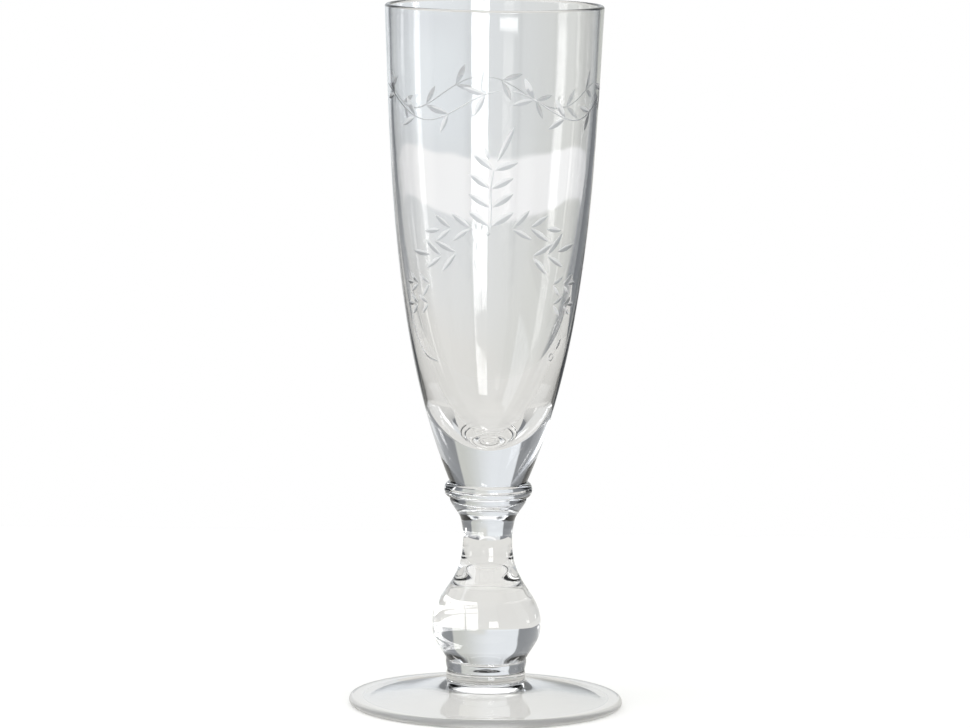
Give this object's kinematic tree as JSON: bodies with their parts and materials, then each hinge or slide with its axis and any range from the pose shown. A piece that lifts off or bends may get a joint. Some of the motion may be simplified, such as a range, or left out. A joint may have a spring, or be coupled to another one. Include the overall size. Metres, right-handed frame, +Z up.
{
  "type": "champagne glass",
  "caption": "Stemmed champagne glass with an egg-shaped flute bowl on a stepped collar, a baluster stem with a bulb, and a wide domed foot.",
  "frame": {"origin": "on the resting plane, under the middle of the foot", "axes": "+Z up along the axis of the stem and the bowl"},
  "size_m": [0.0742, 0.0742, 0.19],
  "materials": {
    "bowl_glass": "blown clear soda-lime glass, fire-polished rim, wheel-cut matt leaves",
    "stem_glass": "hot-tooled clear soda-lime glass, polished",
    "foot_glass": "hot-tooled clear soda-lime glass, polished, rounded edge"
  },
  "bodies": {
    "root": {"foot": "foot_glass", "foot_collar": "stem_glass", "baluster_stem": "stem_glass", "collar_step": "stem_glass", "collar_ring": "stem_glass", "bowl": "bowl_glass"}
  },
  "joints": []
}
